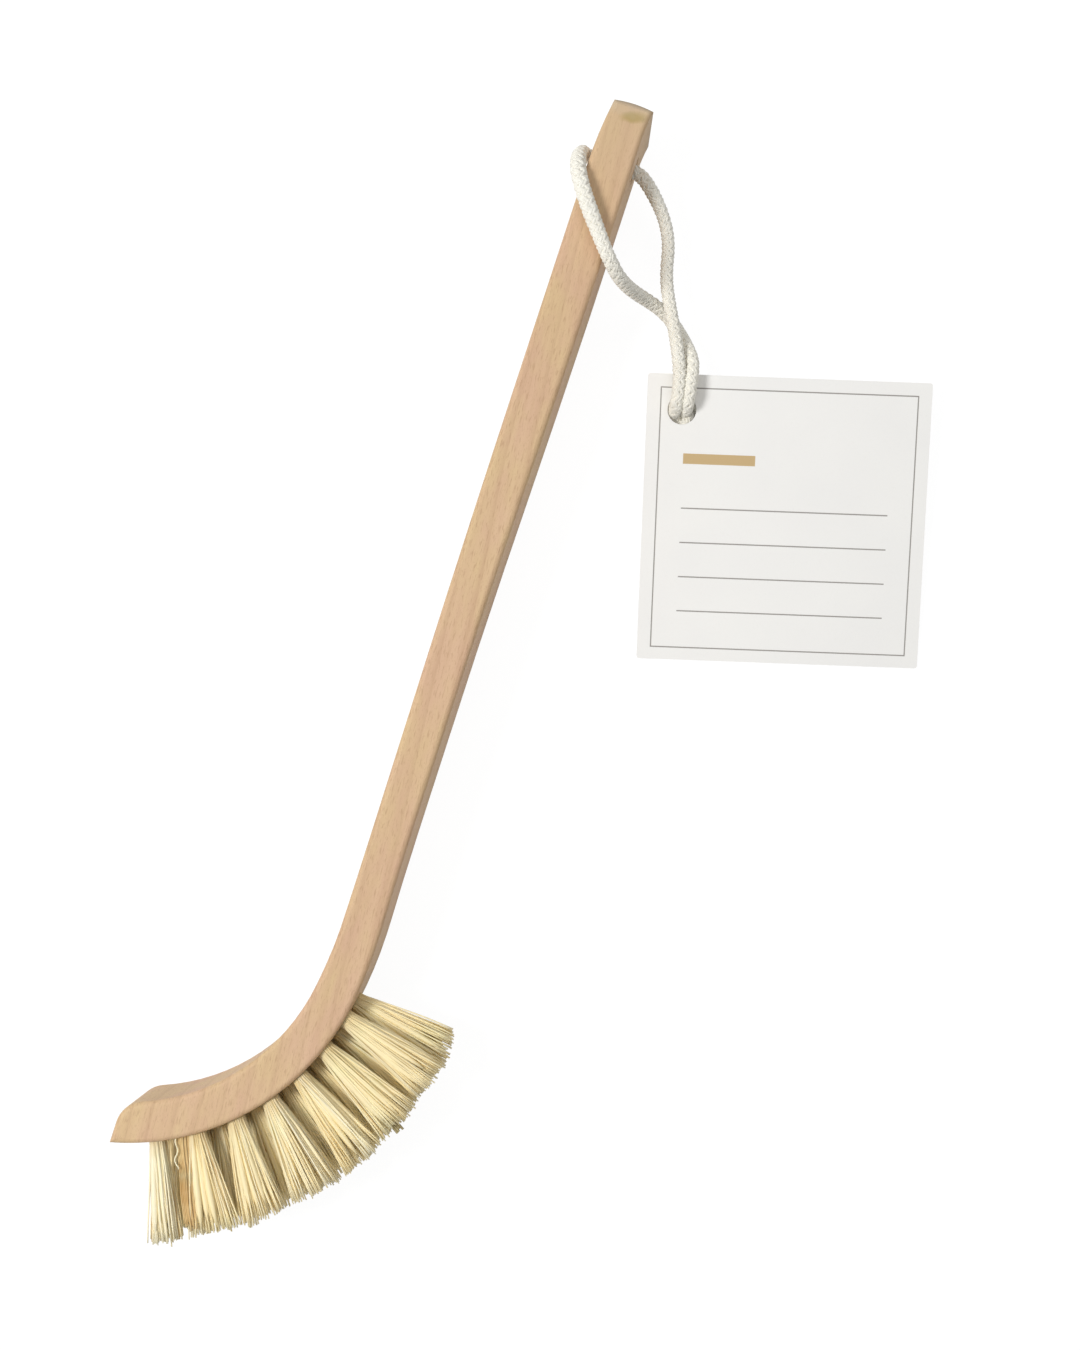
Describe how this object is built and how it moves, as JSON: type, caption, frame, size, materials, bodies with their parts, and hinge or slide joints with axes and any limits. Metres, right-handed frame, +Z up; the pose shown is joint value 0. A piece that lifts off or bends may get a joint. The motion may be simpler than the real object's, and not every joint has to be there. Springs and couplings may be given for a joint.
{
  "type": "dish brush",
  "caption": "Wooden dish brush with a flat straight handle, a curved head of plant-fibre tufts, a cotton hanging loop and a square card tag.",
  "frame": {"origin": "on the side of the wooden block that the brush lies on, under the middle of the hanging hole", "axes": "+Z up, across the block's width; +X along the handle from the hanging hole to the head; +Y towards the side that the bristles are on"},
  "size_m": [0.2803, 0.1441, 0.028],
  "materials": {
    "beech_wood": "bare sanded beech",
    "plant_fibre": "stiff straw-coloured tampico fibre",
    "anchor_wire": "flat drawn wire",
    "cotton_cord": "undyed braided cotton",
    "tag_card": "uncoated pale card"
  },
  "bodies": {
    "brush": {"handle_block": "beech_wood", "tuft_row1_no1": "plant_fibre", "tuft_row1_no2": "plant_fibre", "tuft_row1_no3": "plant_fibre", "tuft_row1_no4": "plant_fibre", "tuft_row1_no5": "plant_fibre", "tuft_row1_no6": "plant_fibre", "tuft_row2_no1": "plant_fibre", "tuft_row2_no2": "plant_fibre", "tuft_row2_no3": "plant_fibre", "tuft_row2_no4": "plant_fibre", "tuft_row2_no5": "plant_fibre", "tuft_row2_no6": "plant_fibre", "tuft_row2_no7": "plant_fibre", "tuft_row3_no1": "plant_fibre", "tuft_row3_no2": "plant_fibre", "tuft_row3_no3": "plant_fibre", "tuft_row3_no4": "plant_fibre", "tuft_row3_no5": "plant_fibre", "tuft_row3_no6": "plant_fibre", "tuft_row3_no7": "plant_fibre", "tuft_row4_no1": "plant_fibre", "tuft_row4_no2": "plant_fibre", "tuft_row4_no3": "plant_fibre", "tuft_row4_no4": "plant_fibre", "tuft_row4_no5": "plant_fibre", "tuft_row4_no6": "plant_fibre", "tuft_row4_no7": "plant_fibre", "tuft_anchors_row1": "anchor_wire", "tuft_anchors_row2": "anchor_wire", "tuft_anchors_row3": "anchor_wire", "tuft_anchors_row4": "anchor_wire"},
    "cord_loop": {"cord_in_hole": "cotton_cord", "cord_over_side": "cotton_cord", "cord_beside_handle": "cotton_cord", "cord_knot": "cotton_cord"},
    "hang_tag": {"hang_tag": "tag_card"}
  },
  "joints": [
    {"name": "loop_swing", "type": "hinge", "parent": "brush", "child": "cord_loop", "pos_m": [0, 0, 0.012], "axis": [0, -1, 0], "range_deg": [0, 60]},
    {"name": "tag_pivot", "type": "hinge", "parent": "cord_loop", "child": "hang_tag", "pos_m": [0.0479, 0.0325, 0.0062], "axis": [0, 0, 1], "range_deg": [-25, 30]}
  ]
}
